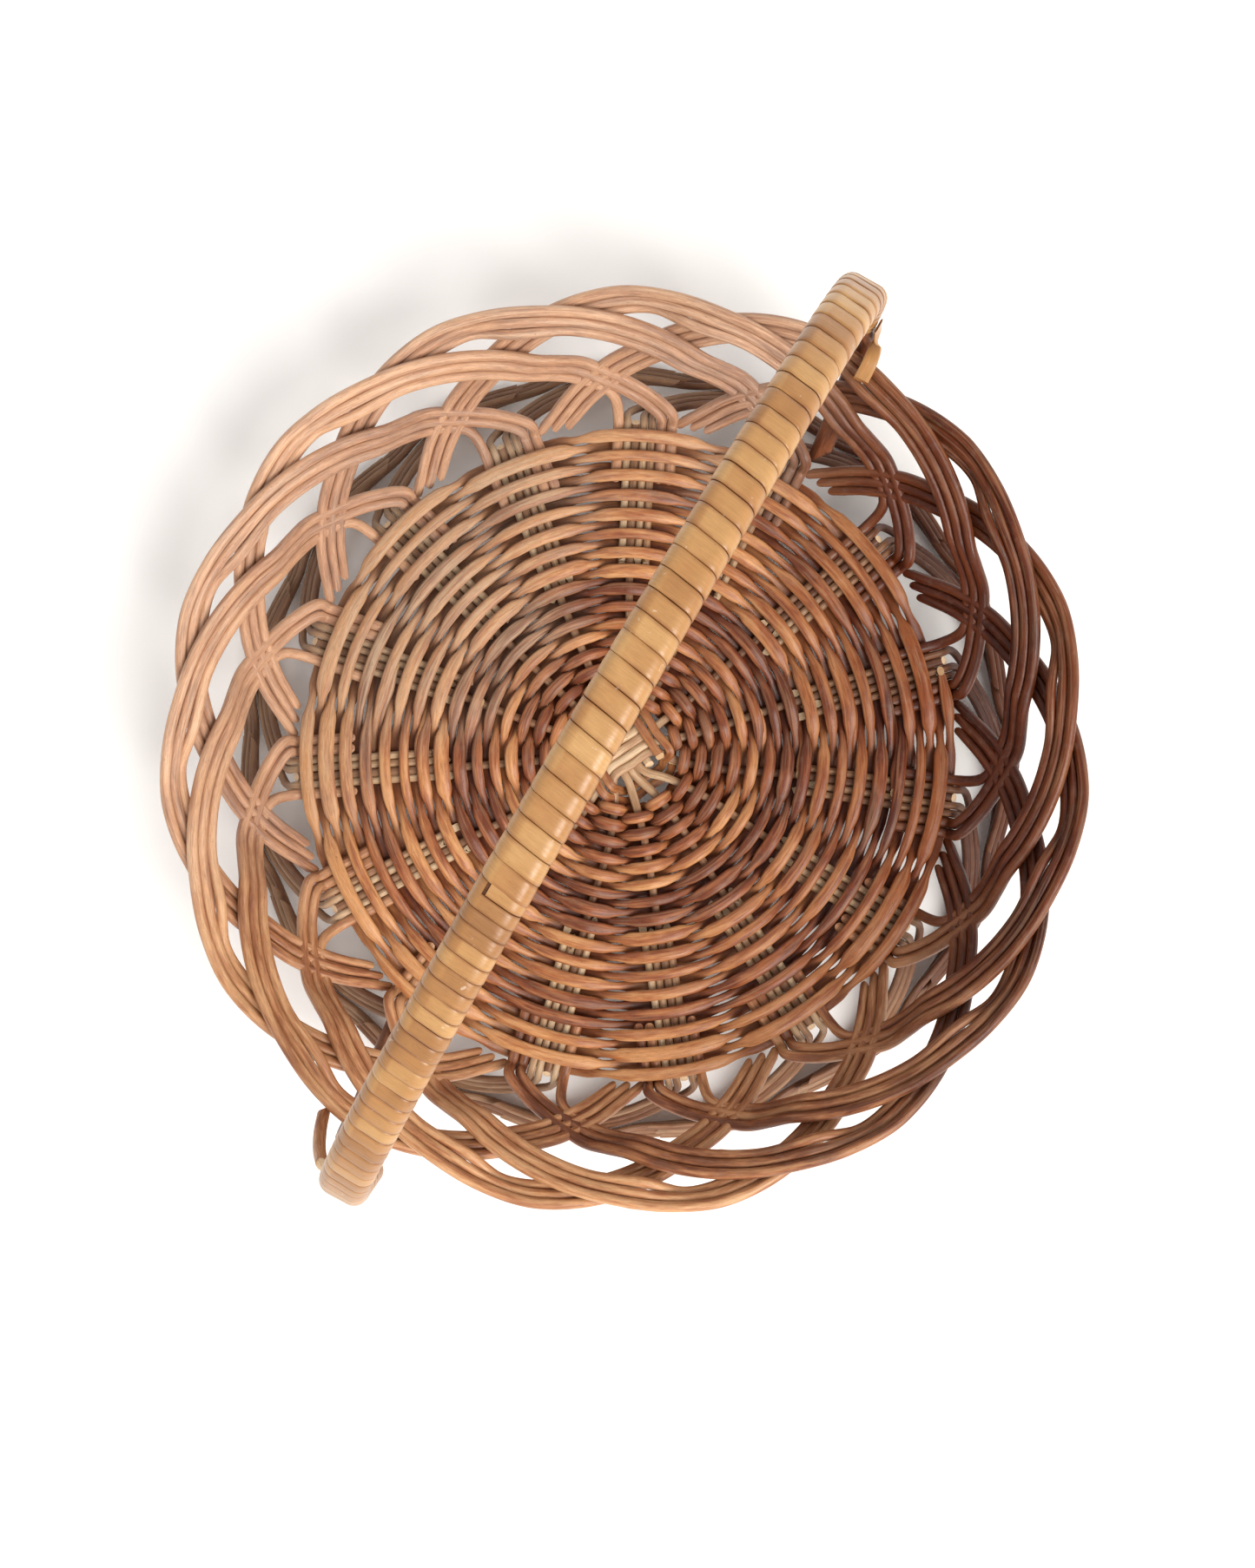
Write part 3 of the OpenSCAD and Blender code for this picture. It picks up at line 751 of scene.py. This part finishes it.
handleR = handle["thickness"] / 2
handleReach = borderR + border["out"] + handle["outside"]
handleWaist = borderZ + border["up"] + handle["above"]
handlePitch = handle["thickness"] + gap
legOut = border["thickness"] + handleR + 1.4


def bandPoint(turn, side):
    turn = np.radians(turn)
    x = handleReach * np.cos(turn)
    return np.stack(np.broadcast_arrays(x, handle["side"] - handle["skew"] * x + side,
                                        handleWaist + (handle["top"] - handleWaist) * np.sin(turn)), -1)


def bandEnd(end, side):
    return bandPoint(0 if end > 0 else 180, side) + [-2.5 * end, 0, -24]


def legPath(angles):
    points = []
    for share in (0.08, 0.45, 0.8):
        a = mix(*angles, share)
        points.append(borderAt(a, share) - legOut * borderNormal(a))
    points.append(polar(borderR + border["out"] + 9.2, angles[1], borderZ + border["up"] + 1))
    return points


bandTurns = np.arange(0, 180.1, 6)
handleUp = np.array([0.0, 1.0, 0.0])
rods = (("right", -handlePitch / 2, handle["rightLeg"]), ("left", handlePitch / 2, handle["leftLeg"]))
for name, side, leg in rods:
    points = [bandEnd(1, side)] + list(bandPoint(bandTurns, side)) + [bandEnd(-1, side)]
    points = legPath(leg) + points if name == "right" else points + legPath(leg)[::-1]
    path, ups, along = smoothCurve(points, [handleUp] * len(points), 2.0)
    heap = Heap()
    addRod(heap, path, ups, along, handle["thickness"], handle["thickness"], sides=20, tone=0.45,
           rough=0.008, slants=(-1.2, -1.2))
    makePiece(f"handleRod_{name}", heap, [legWillow], f"handle_rod_{name}")
print("stage: handle rods")


# cane: strips wound round both rods
cane = {"thickness": 0.62, "lift": 0.16, "pitchRight": 7.0, "pitchLeft": (4.5, 5.6), "samples": 36,
        "overlap": 2.2}

bandLine = np.vstack([bandEnd(1, 0)[None], bandPoint(np.arange(0, 180.1, 1.0), 0), bandEnd(-1, 0)[None]])
bandLine = smoothCurve(bandLine, np.tile(handleUp, (len(bandLine), 1)), 0.5)[0]
bandLength = np.concatenate([[0], np.cumsum(np.linalg.norm(np.diff(bandLine, axis=0), axis=1))])
jointLength = np.interp(-handleReach * math.cos(math.radians(handle["joint"])), -bandLine[:, 0], bandLength)


def bandPlace(s):
    return np.stack([np.interp(s, bandLength, bandLine[:, i]) for i in range(3)], -1)


def onBand(s):
    return bandPlace(s), unit(bandPlace(s + 1) - bandPlace(s - 1))


def outline(share, out):
    # place around both rods for a share of the way round: sideways, and away from the band's middle
    r = handleR * 1.02 + out
    flat, bend = handlePitch, math.pi * r
    at = (share % 1.0) * 2 * (flat + bend)
    side = np.where(at < flat, handlePitch / 2 - at,
                    np.where(at < flat + bend, -handlePitch / 2 - r * np.sin((at - flat) / r),
                             np.where(at < 2 * flat + bend, -handlePitch / 2 + (at - flat - bend),
                                      handlePitch / 2 + r * np.sin((at - 2 * flat - bend) / r))))
    away = np.where(at < flat, r,
                    np.where(at < flat + bend, r * np.cos((at - flat) / r),
                             np.where(at < 2 * flat + bend, -r, -r * np.cos((at - 2 * flat - bend) / r))))
    return side, away


def windCane(heap, start, end, pitchAt, seed, tone):
    own = np.random.default_rng(seed)
    # walk along the band, a small part of a turn at a time
    step = 1 / cane["samples"]
    s, share, lengths, shares = start, 0.0, [], []
    while s < end:
        lengths.append(s)
        shares.append(share)
        s += pitchAt(s) * step
        share += step
    lengths, shares = np.array(lengths), np.array(shares)
    pitch = np.array([pitchAt(s) for s in lengths])
    n = len(lengths)
    slow = wobble(shares * 2.1, seed, 1.0)
    width = pitch * (1.0 + 0.03 * slow)
    lean = 0.35 * wobble(shares * 1.3, seed + 1, 1.0)
    # the strip's section: where each corner is across it, how high, and how much dirt its edge holds
    spots = np.array([-0.5, -0.46, -0.3, 0.0, 0.3, 0.46, 0.5, 0.46, 0.0, -0.46])
    height = np.array([0.45, 0.86, 0.98, 1.0, 0.98, 0.86, 0.45, 0.0, 0.0, 0.0])
    dark = np.array([1.0, 0.5, 0.0, 0.0, 0.0, 0.5, 1.0, 1.0, 1.0, 1.0])
    places, local, edge = [], [], []
    for spot, rise, shade in zip(spots, height, dark):
        at = lengths + spot * width + lean * 0.25
        middle, ahead = onBand(at)
        ripple = 0.05 * wobble(shares * 6.28 * 1.7, seed + 2)
        out = 0.12 + cane["thickness"] * rise + cane["lift"] * (spot + 0.5) + ripple
        side, away = outline(shares, out)
        across = np.tile(handleUp, (n, 1))
        normal = unit(np.cross(ahead, across))
        places.append(middle + side[:, None] * across - away[:, None] * normal)
        local.append(np.stack([np.full(n, spot) * width, np.full(n, rise), shares * 43.0], -1))
        edge.append(np.full(n, shade))
    m = len(spots)
    places, local, edge = (np.stack(x, 1) for x in (places, local, edge))
    i, k = np.meshgrid(np.arange(n - 1), np.arange(m), indexing="ij")
    a, b = i * m + k, i * m + (k + 1) % m
    faces = np.stack([a, a + m, b + m, b], -1).reshape(-1, 4)
    turnTone = tone + 0.30 * wobble(np.floor(shares) * 1.9, seed + 5)
    turnTone = turnTone + 0.1 * wobble(shares * 2.0, seed + 7)
    heap.add(places.reshape(-1, 3), faces, local.reshape(-1, 3) + own.uniform(-50, 50, 3), 0.0, 0.0, 0.0)
    heap.rodTone[-1] = np.repeat(np.clip(turnTone, 0, 1), m)
    heap.endCut[-1] = edge.reshape(-1)  # the cane material reads this as dirt


def pitchRight(s):
    return cane["pitchRight"] + 0.25 * math.sin(s / 11)


def pitchLeft(s):
    return mix(*cane["pitchLeft"], (s - jointLength) / (bandLength[-1] - jointLength))


strips = (("right", 2.0, jointLength, pitchRight, 61, 0.36),
          ("left", jointLength - cane["overlap"], bandLength[-1] - 1.5, pitchLeft, 77, 0.52))
for name, start, end, pitchAt, seed, tone in strips:
    heap = Heap()
    windCane(heap, start, end, pitchAt, seed, tone)
    makePiece(f"caneWrap_{name}", heap, [caneStrip], f"cane_wrap_{name}")
print("stage: cane wraps")


# loose ends: the cane tail at the right, the tie round the left leg, the hooked rod
loose = {"tailWidth": 5.0, "tailThickness": 0.8, "tieWidth": 2.6, "tieThickness": 0.7, "tieTurns": 3.6,
         "hookThickness": 4.2}

wrapHalf = handlePitch / 2 + handleR * 1.06 + gap + handle["cane"]


def flatStrip(heap, points, ups, width, thick, seed, tone):
    path, ups, along = smoothCurve(points, ups, 0.8)
    uneven = width * (1 + wobble(along / 12, seed, 0.06))
    addRod(heap, path, ups, along, uneven, thick, sides=12, tone=tone, square=4.0, slants=(1.5, 1.5),
           rough=0.02, knots=False, seed=seed)


heap = Heap()
start = bandEnd(1, -wrapHalf - handle["cane"] / 2 - gap)
route = np.array([[0, 0, 9], [0, -0.4, 1], [-2.5, -1.8, -4], [-9, -3, -4.5], [-15, -3.2, -7.5]]) + start
flatStrip(heap, route, [[0, 1, 0.0]] * 2 + [[0.3, 0.8, 0.6]] + [[0, 0, 1.0]] * 2, loose["tailWidth"],
          loose["tailThickness"], 5, 0.3)
makePiece("caneTail", heap, [caneStrip], "cane_tail")

heap = Heap()
legs = legPath(handle["leftLeg"])
top = bandEnd(-1, handlePitch / 2)
low, high = mix(top, legs[3], 0.85), mix(top, legs[3], 0.35)
legAhead = unit(high - low)
legSide = unit(np.cross(legAhead, [1.0, 0, 0]))
legFront = np.cross(legSide, legAhead)
turns = np.arange(0, loose["tieTurns"], 1 / 14)
ring = handleR * 1.04 + 0.45
wound = 2 * np.pi * turns[:, None]
helix = (low + (high - low) * (turns / turns[-1])[:, None] + ring * np.cos(wound) * legSide
         + ring * np.sin(wound) * legFront)
outwards = unit(np.cos(wound) * legSide + np.sin(wound) * legFront)
flatStrip(heap, helix, outwards, loose["tieWidth"], loose["tieThickness"], 15, 0.3)
makePiece("caneTie", heap, [caneStrip], "cane_tie")

heap = Heap()
start = bandEnd(-1, wrapHalf + 1.9 + gap)
route = np.array([[-4, 0, 10], [-2, 3.4, 2], [2, 6.6, -6], [6.5, 9, -14]]) + start
path, ups, along = smoothCurve(route, [handleUp] * 4, 1.0)
addRod(heap, path, ups, along, loose["hookThickness"], loose["hookThickness"], sides=14, tone=0.3,
       slants=(0.8, 0.8))
makePiece("rimHook", heap, [borderWillow], "rim_hook")
print("stage: loose ends")


# floor, light and camera
studio = {"ambient": 0.72, "keyStrength": 3.5, "keyTurn": -106.0, "keyHeight": 50.0, "keySoftness": 38.0,
          "floorHalf": 12, "floorDrop": 0.0002}

world = bpy.data.worlds.new("studioWorld")
bpy.context.scene.world = world
world.use_nodes = True
world.node_tree.nodes["Background"].inputs["Color"].default_value = (1.0, 0.985, 0.965, 1)
world.node_tree.nodes["Background"].inputs["Strength"].default_value = studio["ambient"]

keyLight = bpy.data.lights.new("keyLight", "SUN")
keyLight.energy = studio["keyStrength"]
keyLight.angle = math.radians(studio["keySoftness"])
keyLight.color = (1.0, 0.965, 0.92)
key = bpy.data.objects.new("keyLight", keyLight)
bpy.context.scene.collection.objects.link(key)
keyTurn, keyHeight = math.radians(studio["keyTurn"]), math.radians(studio["keyHeight"])
keyFlat = math.cos(keyHeight)
towardsKey = Vector((math.cos(keyTurn) * keyFlat, math.sin(keyTurn) * keyFlat, math.sin(keyHeight)))
key.rotation_euler = towardsKey.to_track_quat("Z", "Y").to_euler()

floorMesh = bpy.data.meshes.new("paleFloor")
half = studio["floorHalf"]
corners = [(-half, -half, 0), (half, -half, 0), (half, half, 0), (-half, half, 0)]
floorMesh.from_pydata(corners, [], [(0, 1, 2, 3)])
paleFloor = bpy.data.objects.new("paleFloor", floorMesh)
bpy.context.scene.collection.objects.link(paleFloor)
floorPaint = bpy.data.materials.new("floorPaint")
floorPaint.use_nodes = True
floorPaint.node_tree.nodes["Principled BSDF"].inputs["Base Color"].default_value = (0.98, 0.98, 0.975, 1)
floorPaint.node_tree.nodes["Principled BSDF"].inputs["Roughness"].default_value = 0.8
floorMesh.materials.append(floorPaint)
paleFloor.location.z = -studio["floorDrop"]

lens = {"place": (-0.0007, -0.0204, 0.900), "target": (-0.0091, -0.0052, 0.0), "up": (0.875, 0.485, 0.0),
        "focal": 74.24}
cameraData = bpy.data.cameras.new("camera")
cameraData.sensor_fit = "HORIZONTAL"
cameraData.sensor_width = 36.0
cameraData.lens = lens["focal"]
camera = bpy.data.objects.new("camera", cameraData)
bpy.context.scene.collection.objects.link(camera)
back = (Vector(lens["place"]) - Vector(lens["target"])).normalized()
right = Vector(lens["up"]).cross(back).normalized()
top = back.cross(right)
camera.matrix_world = Matrix.Translation(lens["place"]) @ Matrix((right, top, back)).transposed().to_4x4()
bpy.context.scene.camera = camera
bpy.context.scene.view_settings.view_transform = "Standard"
print("stage: studio")
